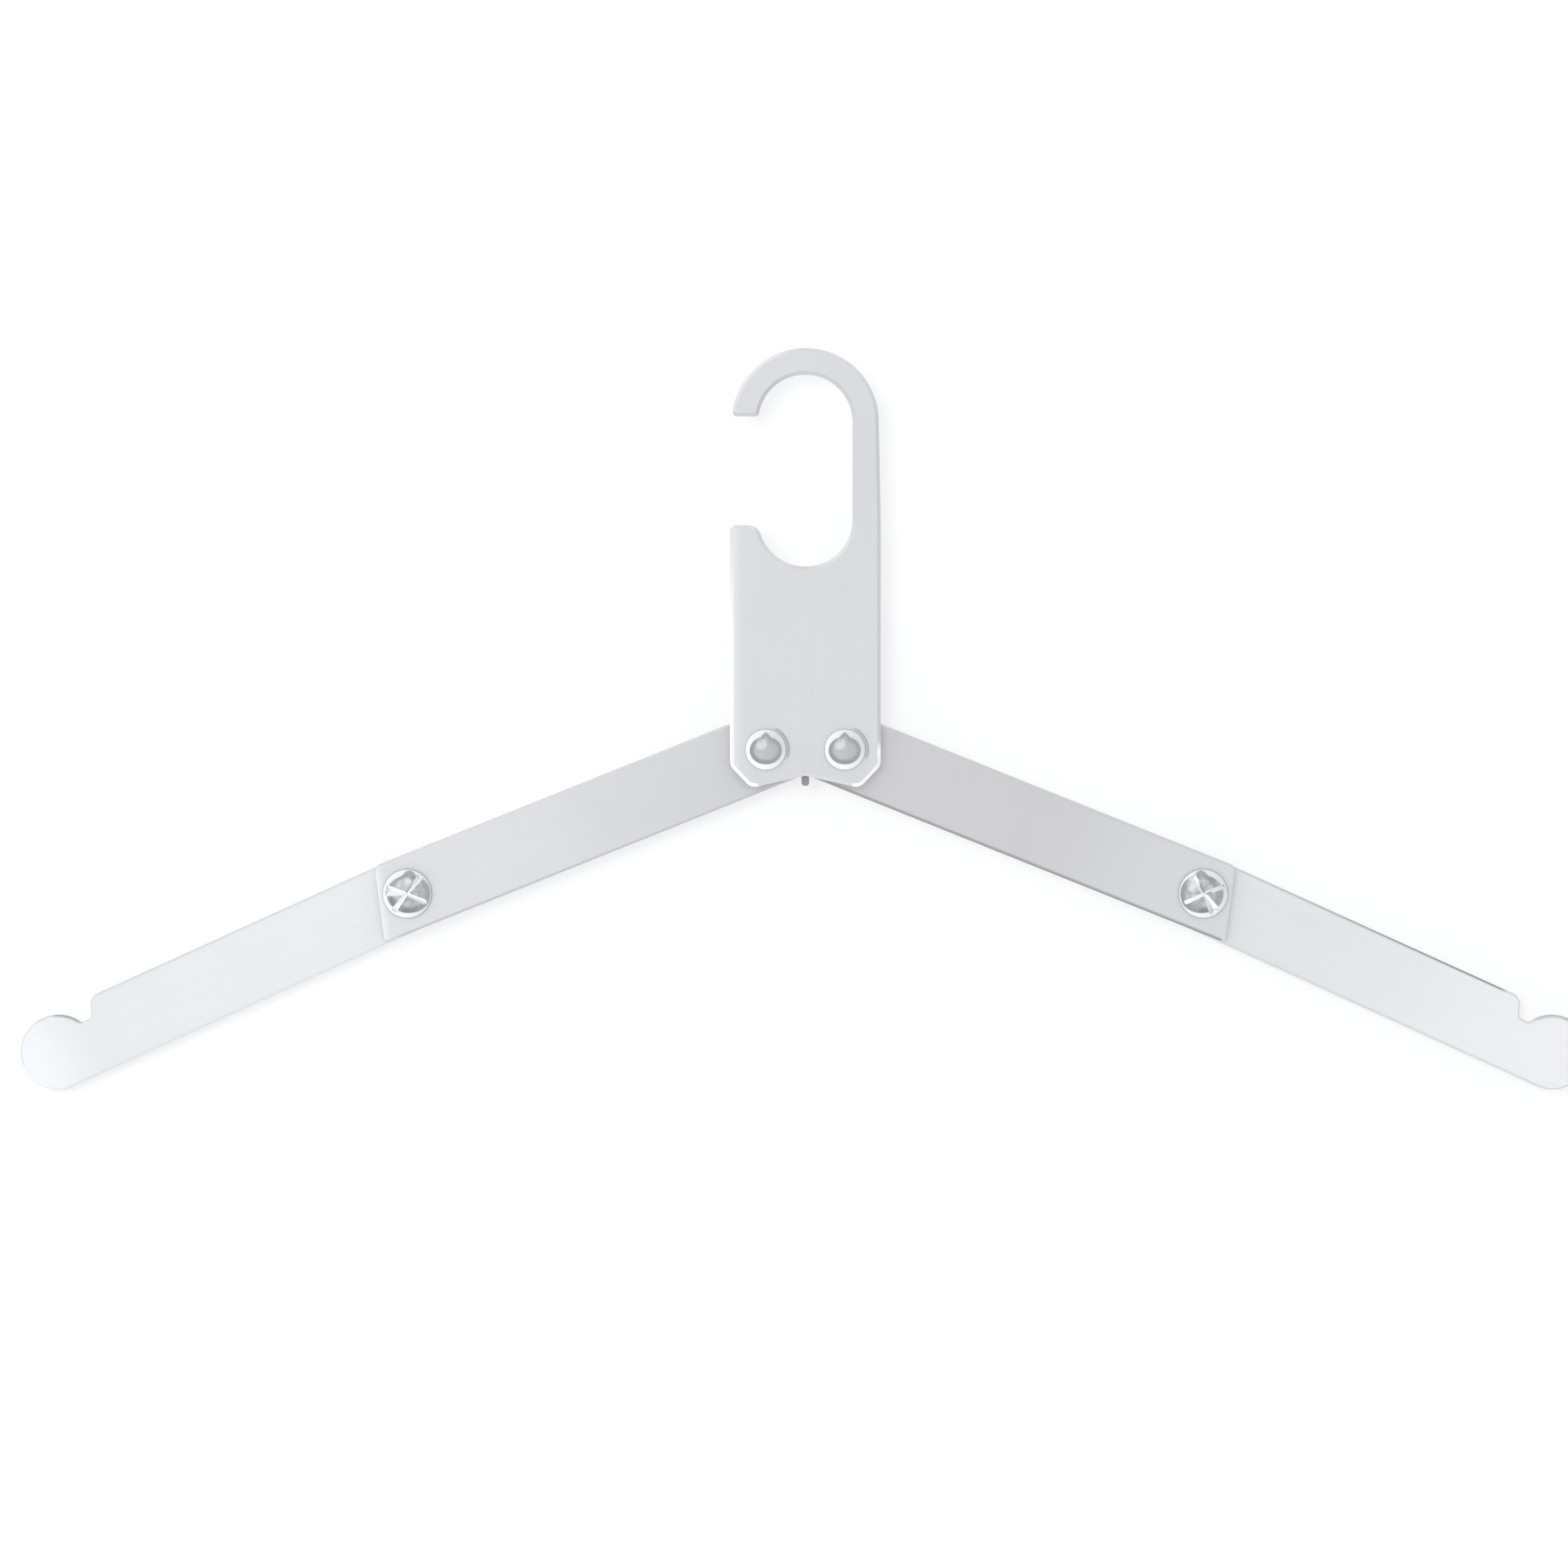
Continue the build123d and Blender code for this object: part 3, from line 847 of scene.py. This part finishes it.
@dataclass
class Shoulder:
    """One shoulder: the domed rivet and the washer under its formed tail."""

    side: Side
    body: str = "hook_plate"
    dome_height: float = 2.2 * MM  # how far the dome stands proud of the plate
    dome_rows: int = 40
    lip: float = 0.4 * MM  # the straight edge under the dome
    edge_ease: float = 0.12 * MM  # the rounding where the dome meets its lip
    shank_radius: float = 2.5 * MM
    tail_radius: float = 4.0 * MM
    tail_height: float = 1.0 * MM  # how far the tail stands behind the washer
    tail_dimple: float = 0.25 * MM  # how deep the forming tool pressed the tail's middle

    def rivet_profile(self, low: Vector, high: Vector) -> np.ndarray:
        """The rivet's outline from the dome's front point, over its lip and tail, to the tail's dimple.

        Between lip and tail it runs straight, as a cone inside the sheets, because the corners at the
        shank have radius 0.

        Args:
            low: The lower corner of the rivet's box.
            high: Its upper corner.

        Returns:
            Points as (radius, depth), shape (n, 2).
        """
        radius = (high.x - low.x) / 2
        plate_front = low.y + self.dome_height
        tail_seat = high.y - self.tail_height
        reach = np.linspace(0, radius - self.edge_ease, self.dome_rows)
        ball = ball_radius(radius, self.dome_height - self.lip)
        dome = np.stack([reach, dome_depth(reach, ball, low.y)], axis=1)
        side = eased([
            (*dome[-1], 0.0),
            (radius, plate_front - self.lip + self.edge_ease, self.edge_ease / 2),
            (radius, plate_front, 0.0),
        ])[1:]
        foot = eased([
            (radius, plate_front, 0.0),
            (self.shank_radius, plate_front, 0.0),
            (self.shank_radius, tail_seat, 0.0),
            (self.tail_radius, tail_seat, self.edge_ease),
            (self.tail_radius, high.y, 3 * self.edge_ease),
            (self.tail_radius / 2, high.y, self.edge_ease),
            (self.tail_radius / 4, high.y - self.tail_dimple, self.edge_ease),
            (0.0, high.y - self.tail_dimple, 0.0),
        ])[1:]
        return np.concatenate([dome, side, foot])

    def build(self) -> None:
        """Builds the rivet and its washer in place of their CAD nodes."""
        node = self.side.node("shoulder_rivet")
        profile = self.rivet_profile(*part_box(node))
        rivet = turned_piece(f"{node}_polished", middle_of(node), profile, steps=160)
        place_steel(rivet, self.body, node, "polished_steel")
        Washer(self.side.node("shoulder_washer"), self.body).build()


@dataclass(frozen=True)
class Wing:
    """One wing of a screw's cross."""

    lean: float  # how far worn drivers have pushed it from its place in the cross, in degrees
    end_half: float  # half its width at its outer end


WINGS = {
    Side.LEFT: (Wing(1.0, 0.7 * MM), Wing(-13.5, 0.9 * MM), Wing(16.0, 1.6 * MM), Wing(-11.5, 0.8 * MM)),
    Side.RIGHT: (Wing(-5.0, 0.6 * MM), Wing(9.0, 1.1 * MM), Wing(0.0, 0.6 * MM), Wing(6.0, 1.6 * MM)),
}


@dataclass
class Elbow:
    """One elbow: the domed cross-recess screw, its post, the washer, the spacer and the stop pin."""

    side: Side
    crown: float = 1.9 * MM  # the height of the screw's dome
    lip: float = 0.7 * MM  # the straight edge under the dome
    rim_round: float = 0.9 * MM  # the rounding where the dome meets its lip
    shank_radius: float = 1.5 * MM
    wing_reach: float = 5.8 * MM  # how far each wing of the recess reaches from the axis
    wing_end: float = 2.0  # how many times steeper a wing's end wall goes down than its side walls
    wing_half: float = 0.45 * MM  # half the width of every wing at the axis
    wing_slope: float = 29.0  # how steeply the recess's walls go down, in degrees
    wing_turn: float = 25.5  # how far the recess is turned from level on the right side, in degrees
    columns: int = 384  # how many go round the head
    rim_rows: int = 10
    dome_rows: int = 25
    recess_rows: int = 21
    post_radius: float = 2.5 * MM  # the post's barrel
    post_head: float = 1.4 * MM  # the height of the post's head
    post_ease: float = 0.6 * MM  # the rounding of its rim
    post_break: float = 0.1 * MM  # the rounding of the post's other corners
    post_play: float = 0.03 * MM  # the room round the screw's shank
    pin_bevel: float = 0.3 * MM  # the bevel of the stop pin's ends
    pin_ease: float = 0.05 * MM  # the rounding of the bevel's corners

    @property
    def body(self) -> str:
        """The body that the whole elbow rides on."""
        return self.side.node("upper_arm")

    def wings(self, angle: np.ndarray) -> list[tuple[np.ndarray, np.ndarray, float]]:
        """The wings of the cross, seen in directions from its axis.

        Args:
            angle: The directions.

        Returns:
            Each wing's cosine and sine of the angles from its own line, and how much it widens per length.
        """
        found = []
        for index, wing in enumerate(WINGS[self.side]):
            off = angle - math.radians(90 * index + wing.lean)
            flare = (wing.end_half - self.wing_half) / self.wing_reach
            found.append((np.cos(off), np.abs(np.sin(off)), flare))
        return found

    def recess_edge(self, angle: np.ndarray) -> np.ndarray:
        """The distance from the axis to the cross's edge, seen in a direction from it.

        A wing's side is met where the distance times the sine is its half width, and all end at the reach.
        """
        edge = np.zeros(angle.shape)
        for along, across, flare in self.wings(angle):
            away = np.maximum(across - flare * along, self.wing_half / self.wing_reach)
            edge = np.maximum(edge, np.where(along > 0, self.wing_half / away, 0.0))
        return edge

    def recess_depth(self, radius: np.ndarray, angle: np.ndarray) -> np.ndarray:
        """The depth of the cross under the dome: in each wing, in proportion to how far its edge is."""
        inside = np.zeros(np.broadcast(radius, angle).shape)
        for along, across, flare in self.wings(angle):
            from_side = self.wing_half + radius * (flare * along - across)
            from_edge = np.minimum(from_side, (self.wing_reach - radius) * self.wing_end)
            inside = np.maximum(inside, np.where(along > 0, from_edge, 0.0))
        return inside * math.tan(math.radians(self.wing_slope))

    def head_rim(self, radius: float, ball: float, front: float) -> np.ndarray:
        """The head's outline from its lip inwards to where the dome begins.

        The rim's arc has its centre at radius - rim_round from the axis and ball - rim_round from the
        dome's centre, so it touches the lip and the dome.
        """
        inner = radius - self.rim_round
        lean = math.asin(inner / (ball - self.rim_round))
        depth = front + ball - math.cos(lean) * (ball - self.rim_round)
        return arc((inner, depth), self.rim_round, 0.0, lean - math.pi / 2, self.rim_rows)

    def head_points(self, axis: Vector, seat: float, radius: float) -> np.ndarray:
        """The head's rows from its seat over the rim and the dome to the bottom of the recess.

        Outside the cross, rows run from the rim's arc to the cross's edge, and inside it from the edge to
        the axis, so that the edge is a row of its own. Each point's depth is the dome's plus the recess's.

        Args:
            axis: A point on the screw's axis.
            seat: The depth of the face that the head sits on.
            radius: The head's radius.

        Returns:
            An array of shape (rows, columns, 3).
        """
        angle = np.linspace(0, 2 * math.pi, self.columns, endpoint=False)[None, :]
        edge = self.recess_edge(angle)
        front = seat - self.crown - self.lip
        ball = ball_radius(radius, self.crown)
        rim = self.head_rim(radius, ball, front)
        side = np.concatenate([[[self.shank_radius, seat], [radius, seat]], rim])
        outside = rim[-1, 0] + (edge - rim[-1, 0]) * np.linspace(0, 1, self.dome_rows + 1)[1:, None]
        inside = edge * np.linspace(1, 0, self.recess_rows + 1)[1:, None]
        reach = np.concatenate([outside, inside])
        depth = dome_depth(reach, ball, front) + self.recess_depth(reach, angle)
        whole = np.ones_like(angle)
        reach = np.concatenate([side[:, :1] * whole, reach])
        depth = np.concatenate([side[:, 1:] * whole, depth])
        turned = angle + math.radians(self.wing_turn * self.side.sign)
        return np.stack([axis.x + reach * np.cos(turned), depth, axis.z + reach * np.sin(turned)], axis=-1)

    def build_screw(self) -> None:
        """Builds the screw: its head's rows, then its shank down to a closed end."""
        node = self.side.node("elbow_screw")
        low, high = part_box(node)
        axis = middle_of(node)
        head = self.head_points(axis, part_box(self.body)[0].y, (high.x - low.x) / 2)
        foot = head[:1].copy()
        foot[..., 1] = high.y
        end = foot.copy()
        end[..., 0] = axis.x
        end[..., 2] = axis.z
        screw = grid_piece(f"{node}_polished", np.concatenate([end, foot, head]), sharp_degrees=20.0)
        # The head's flat parts get mottled painted shade, and its slopes stay bright as a painted highlight.
        place_steel(screw, self.body, node, "polished_steel", dull=(0.50, 0.515, 0.53))

    def build_post(self) -> None:
        """Builds the post: a rounded head behind, and a barrel that widens to it inside the sheets."""
        node = self.side.node("elbow_post")
        low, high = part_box(node)
        head = (high.x - low.x) / 2
        seat = high.y - self.post_head
        bore = self.shank_radius + self.post_play
        bottom = high.y - self.post_ease
        outline = eased([
            (bore, low.y, 0.0),
            (self.post_radius, low.y, self.post_break),
            (self.post_radius, seat, 0.0),
            (head, seat, self.post_break),
            (head, high.y, self.post_ease),
            (0.0, high.y, 0.0),
        ])
        profile = np.concatenate([[[0.0, bottom], [bore, bottom]], outline])
        post = turned_piece(f"{node}_polished", middle_of(node), profile)
        place_steel(post, self.body, node, "polished_steel", polish=Polish.BRIGHT, mark=0.08)

    def build_pin(self) -> None:
        """Builds the stop pin with its bevelled ends."""
        node = self.side.node("elbow_stop_pin")
        low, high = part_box(node)
        radius = (high.x - low.x) / 2
        profile = eased([
            (0.0, low.y, 0.0),
            (radius - self.pin_bevel, low.y, self.pin_ease),
            (radius, low.y + self.pin_bevel, self.pin_ease),
            (radius, high.y - self.pin_bevel, self.pin_ease),
            (radius - self.pin_bevel, high.y, self.pin_ease),
            (0.0, high.y, 0.0),
        ])
        pin = turned_piece(f"{node}_polished", middle_of(node), profile, steps=64)
        place_steel(pin, self.body, node, "polished_steel", polish=Polish.BRIGHT)

    def build(self) -> None:
        """Builds all of the elbow's small pieces and dresses its spacer."""
        self.build_screw()
        self.build_post()
        self.build_pin()
        Washer(self.side.node("elbow_back_washer"), self.body).build()
        spacer = self.side.node("elbow_spacer")
        dress_node(spacer, MouldedNylon(f"{spacer}_nylon", centre=middle_of(spacer)))


@dataclass
class Arm:
    """One satin blade, whose pattern starts at a fastener's axis and runs along it."""

    side: Side

    def dress_blade(self, part: str, root: str, slope: float, **look: object) -> None:
        """Dresses the blade's carried-over node.

        Args:
            part: The blade's name without its side.
            root: The fastener's name without its side.
            slope: How steeply the blade hangs, in degrees.
            look: The finish's own values.
        """
        node = self.side.node(part)
        centre = middle_of(self.side.node(root))
        dress_node(node, SatinSheet(f"{node}_satin", centre=centre, turn=-slope * self.side.sign, **look))


@dataclass
class UpperArm(Arm):
    """An upper arm. The right one is painted darker, where less light reaches, and has a painted dark line
    of shade along its lower edge.
    """

    slope: float = 21.85  # degrees
    end: float = 111.2 * MM  # where its end cuts the middle line, from the rivet
    end_lean: float = 14.0  # degrees

    def build(self) -> None:
        """Dresses the arm."""
        if self.side is Side.RIGHT:
            # Painted shade: a darker face, a dark lower rim line and a dark band before the end; the face is
            # painted paler towards the tip.
            look = {
                "colour": (0.652, 0.646, 0.662), "tip_colour": (0.722, 0.726, 0.753),
                "change": (45 * MM, 112 * MM), "rim_colour": (0.60, 0.60, 0.62),
                "below": Line((0.28, 0.275, 0.285)), "strip": 1.1 * MM,
                "end_colour": (0.60, 0.60, 0.62), "end_sheen": (0.62, 0.62, 0.64),
                "end_strip": 1.0 * MM,
            }
        else:
            # Painted light: the face paler towards the tip and a bright band before the end as a painted
            # highlight, with darker painted rim lines.
            look = {
                "colour": (0.680, 0.680, 0.697), "tip_colour": (0.756, 0.762, 0.787),
                "change": (10 * MM, 100 * MM), "rim_colour": (0.66, 0.665, 0.68),
                "below": Line((0.50, 0.50, 0.51)), "strip": 0.8 * MM,
                "end_colour": (0.60, 0.60, 0.61), "end_sheen": (0.88, 0.885, 0.895),
                "end_strip": 2.8 * MM,
            }
        slant = math.tan(math.radians(self.end_lean))
        self.dress_blade("upper_arm", "shoulder_rivet", self.slope, end=self.end, slant=slant, **look)


@dataclass
class LowerArm(Arm):
    """A lower arm, painted paler towards its round end, where more light falls, with a painted dark line of
    shade beside the notch.
    """

    slope: float = 24.4  # degrees
    lobe: float = 103 * MM  # the round end's centre, from the post

    def build(self) -> None:
        """Dresses the arm."""
        centre = (self.lobe * self.side.sign, 0.0, 0.0)
        if self.side is Side.RIGHT:
            # Painted shade: a dark arc over the lobe and a dark line along the top edge; the face is painted
            # paler towards the round end.
            burr = PaintedArc((0.50, 0.50, 0.53), centre, facing=(0.0, 0.0, 1.0), reach=0.45)
            look = {
                "colour": (0.797, 0.803, 0.820), "tip_colour": (0.900, 0.900, 0.918),
                "change": (20 * MM, 110 * MM), "rim_colour": (0.64, 0.65, 0.66),
                "above": Line((0.25, 0.25, 0.27), -20 * MM, 80 * MM, stop=85.5 * MM),
            }
        else:
            # Painted shade: a dark arc on the lobe's slope beside the notch and a darker line along the
            # lower rim; the face is painted paler towards the round end.
            burr = PaintedArc((0.38, 0.38, 0.40), centre, facing=(0.62, 0.0, 0.784), reach=0.91, width=1.0 * MM)
            look = {
                "colour": (0.825, 0.838, 0.858), "tip_colour": (0.916, 0.934, 0.956),
                "change": (90 * MM, 112 * MM), "rim_colour": (0.82, 0.83, 0.845),
                "below": Line((0.71, 0.72, 0.735)),
            }
        self.dress_blade("lower_arm", "elbow_post", self.slope, burrs=(burr,), **look)


# The studio: camera, cove and light.


@dataclass(frozen=True)
class Camera:
    """The camera straight in front, so that the photograph's frame is filled as it was."""

    photo_pixels: float = 1800.0  # the photograph's width
    pixel: float = 0.2313 * MM  # what one of its pixels measures at the hook plate
    hook_pixel: Pair = (924.5, 484.0)  # where the hook's centre lies in the photograph
    lens: float = 85.0  # the focal length in millimetres
    sensor: float = 36.0  # the width of the film in millimetres
    clip: Pair = (0.01, 20.0)  # the nearest and the furthest that it sees

    def build(self) -> None:
        """Places the camera and makes it the scene's own."""
        data = bpy.data.cameras.new("camera")
        data.lens, data.sensor_width = self.lens, self.sensor
        data.clip_start, data.clip_end = self.clip
        camera = bpy.data.objects.new("camera", data)
        middle = self.photo_pixels / 2
        aim_x = (middle - self.hook_pixel[0]) * self.pixel
        aim_z = (self.hook_pixel[1] - middle) * self.pixel
        distance = self.photo_pixels * self.pixel * self.lens / self.sensor
        camera.location = (aim_x, -distance, aim_z)
        camera.rotation_euler = (math.radians(90.0), 0.0, 0.0)
        bpy.context.scene.collection.objects.link(camera)
        bpy.context.scene.camera = camera


@dataclass(frozen=True)
class Cove:
    """The white cove behind the hanger, which only the camera sees."""

    gap: float = 3.5 * MM  # how far it stands behind the hanger
    width: float = 3.0
    top: float = 1.2  # the height of its upper edge
    floor: float = -0.40  # the height of its floor
    reach: float = 2.4  # how far its floor comes forward
    bend: float = 0.08  # the radius between its wall and its floor
    bend_steps: int = 24
    board: Colour = (0.235, 0.27, 0.195)
    glow: Colour = (0.925, 0.88, 1.0)
    glow_strength: float = 0.735

    def build(self) -> None:
        """Builds the cove: a profile of wall, quarter bend and floor carried straight across."""
        wall = CAD_BOX[1][1] + self.gap
        centre = (wall - self.bend, self.floor + self.bend)
        bend = arc(centre, self.bend, 0.0, -math.pi / 2, self.bend_steps)
        profile = np.concatenate([[[wall, self.top]], bend, [[wall - self.reach, self.floor]]])
        rows = len(profile)
        points = np.zeros((rows, 2, 3))
        points[..., 0] = np.array([-self.width / 2, self.width / 2])
        points[..., 1:] = profile[:, None, :]
        row = np.arange(rows - 1) * 2
        faces = np.stack([row, row + 2, row + 3, row + 1], axis=1)
        mesh = bpy.data.meshes.new("cove")
        mesh.from_pydata(points.reshape(-1, 3).tolist(), [], faces.tolist())
        mesh.shade_smooth()
        cove = bpy.data.objects.new("cove", mesh)
        bpy.context.scene.collection.objects.link(cove)
        for ray in ("visible_diffuse", "visible_glossy", "visible_transmission", "visible_shadow"):
            setattr(cove, ray, False)
        mesh.materials.append(self.material())

    def material(self) -> bpy.types.Material:
        """White board that glows a little, and can be seen through from behind."""
        material = bpy.data.materials.new("cove_board")
        material.use_nodes = True
        material.node_tree.nodes.clear()
        tree = Tree(material.node_tree)
        board = tree.add("ShaderNodeBsdfDiffuse", {"Color": (*self.board, 1.0)})[0]
        shine = {"Color": (*self.glow, 1.0), "Strength": self.glow_strength}
        glow = tree.add("ShaderNodeEmission", shine)[0]
        both = tree.add("ShaderNodeAddShader", {0: board, 1: glow})[0]
        clear = tree.add("ShaderNodeBsdfTransparent")[0]
        back = tree.add("ShaderNodeNewGeometry")["Backfacing"]
        mix = tree.add("ShaderNodeMixShader", {0: back, 1: both, 2: clear})[0]
        tree.add("ShaderNodeOutputMaterial", {"Surface": mix})
        return material


@dataclass(frozen=True)
class Room:
    """The light all round, which the metal mirrors: a grey middle before and behind, with bright sides.

    With c the cosine of the direction round the line of sight, counted from straight up, the middle ends
    at border + lean * c + squash * c**2 from that line, and a narrow point further straight up, as a
    doorway's arch does. A darker band lies along its border. The bright sides fade away from the line of
    sight, and what the metal mirrors of them is calmer behind the hanger. All angles are in degrees. A
    tilted level has a value in the middle and what is added to it towards the right and upwards.
    """

    tint: Colour = (0.985, 0.995, 1.0)
    border: float = 55.0
    lean: float = -3.0
    squash: float = -8.5
    point: float = 17.0  # how far the point goes past the border
    point_taper: float = -2.5  # how fast it narrows away from straight up
    middle: Triple = (0.96, -0.12, 0.0)  # the middle's tilted level
    band: Pair = (-22.0, -8.0)  # where the darker band begins and is complete, from the border
    band_depth: Triple = (-0.30, 0.12, 0.08)  # the tilted share that it adds
    edge: Pair = (-1.0, 1.5)  # where the bright sides begin and are complete, from the border
    sides: Triple = (1.6, -0.30, -0.12)  # their tilted level
    fade: Pair = (68.0, 84.0)  # where they begin to fade and have, from the line of sight
    fade_depth: float = -0.34  # the share that fading adds
    behind: Pair = (0.05, 0.25)  # how far backwards they begin to be calmer and are
    behind_depth: float = -0.40  # the share that this adds

    def build(self) -> None:
        """Builds the world's light. The camera itself sees plain white."""
        world = bpy.data.worlds.new("room")
        bpy.context.scene.world = world
        world.use_nodes = True
        world.node_tree.nodes.clear()
        tree = Tree(world.node_tree)
        x, y, z = tree.axes(tree.add("ShaderNodeTexCoord")["Generated"])
        rays = tree.add("ShaderNodeLightPath")

        def tilted(level: Triple) -> Socket:
            """A level that changes evenly towards the right and upwards."""
            value, right, up = level
            return tree.scaled(z, by=up, plus=tree.scaled(x, by=right, plus=value))

        def within(angle: Socket, marks: Pair) -> Socket:
            """A smooth step of an angle between two marks in degrees."""
            return tree.rise(angle, *(math.radians(mark) for mark in marks))

        off_axis = tree.calc("ARCCOSINE", tree.size(y))
        round_axis = tree.calc("ARCTAN2", x, z)
        up = tree.calc("COSINE", round_axis)
        border = tree.scaled(up, by=math.radians(self.lean), plus=math.radians(self.border))
        border = tree.scaled(tree.times(up, up), by=math.radians(self.squash), plus=border)
        point = tree.calc("MULTIPLY_ADD", tree.size(round_axis), self.point_taper, 1.0, clamp=True)
        past = tree.less(off_axis, tree.scaled(point, by=math.radians(self.point), plus=border))

        band = tree.scaled(within(past, self.band), by=tilted(self.band_depth), plus=1.0)
        inside = tree.times(tilted(self.middle), band)
        fading = tree.scaled(within(off_axis, self.fade), by=self.fade_depth, plus=1.0)
        behind = tree.times(tree.rise(y, *self.behind), rays["Is Glossy Ray"])
        calm = tree.scaled(behind, by=self.behind_depth, plus=1.0)
        outside = tree.times(tree.times(tilted(self.sides), fading), calm)
        level = tree.scaled(within(past, self.edge), by=tree.less(outside, inside), plus=inside)

        seen = tree.scaled(rays["Is Camera Ray"], by=tree.less(1.0, level), plus=level)
        light = tree.add("ShaderNodeBackground", {"Color": (*self.tint, 1.0), "Strength": seen})[0]
        tree.add("ShaderNodeOutputWorld", {"Surface": light})


@dataclass(frozen=True)
class Softbox:
    """A round soft light that points at the hanger."""

    name: str
    place: Triple
    diameter: float
    power: float  # in watts
    mirrored: bool  # whether it lights only what mirrors it, such as metal, or only what doesn't
    aim: Triple = (0.0, 0.0, -0.1)

    def build(self) -> None:
        """Places the light."""
        data = bpy.data.lights.new(self.name, "AREA")
        data.shape = "DISK"
        data.size = self.diameter
        data.energy = self.power
        light = bpy.data.objects.new(self.name, data)
        light.location = self.place
        light.rotation_mode = "QUATERNION"
        light.rotation_quaternion = (Vector(self.aim) - Vector(self.place)).to_track_quat("-Z", "Y")
        light.visible_glossy = self.mirrored
        light.visible_diffuse = not self.mirrored
        bpy.context.scene.collection.objects.link(light)


STUDIO = (
    Camera(),
    Cove(),
    Room(),
    Softbox("key_from_the_left", (-0.23, -1.0, 0.05), diameter=0.36, power=5.2, mirrored=False),
    Softbox("glint_from_the_left", (-0.30, -1.1, 0.3), diameter=0.8, power=0.45, mirrored=True),
)


def main() -> None:
    """Builds the studio, the plate and both sides."""
    logging.basicConfig(level=logging.INFO, format="%(name)s: %(message)s")
    bpy.context.scene.view_settings.view_transform = "Standard"
    for piece in STUDIO:
        piece.build()
    HookPlate().build()
    for side in Side:
        for assembly in (Shoulder, Elbow, UpperArm, LowerArm):
            assembly(side).build()
    bpy.context.view_layer.update()


if __name__ == "__main__":
    main()
